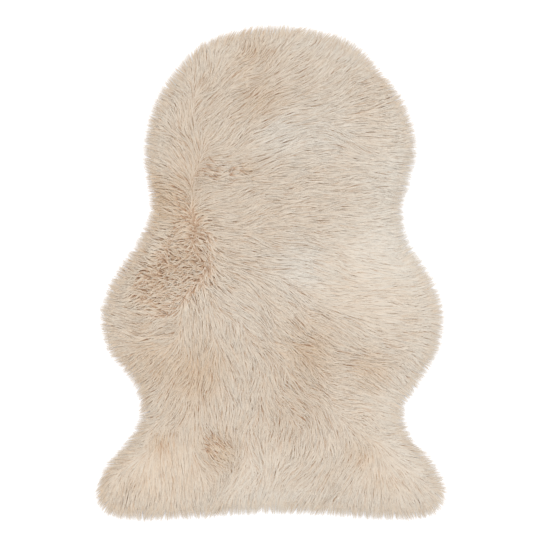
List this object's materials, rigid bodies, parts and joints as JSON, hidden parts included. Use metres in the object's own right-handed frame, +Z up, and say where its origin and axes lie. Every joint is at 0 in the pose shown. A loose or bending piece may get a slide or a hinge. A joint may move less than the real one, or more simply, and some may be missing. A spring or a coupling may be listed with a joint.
{
  "type": "shag rug",
  "caption": "Flat shag rug cut to the outline of a sheepskin, with a round head end, drawn-in waist and flared tail, long combed pile and loose locks along its rim.",
  "frame": {"origin": "on the floor, under the middle of the rug's outer box", "axes": "+Z up off the floor, +Y along the rug towards the round head end, +X to the right seen from above with the head end at the top"},
  "size_m": [0.6005, 0.8553, 0.0388],
  "materials": {
    "pile": "long combed pile, cream to beige, with tan roots"
  },
  "bodies": {
    "root": {"shag_rug": "pile"}
  },
  "joints": []
}
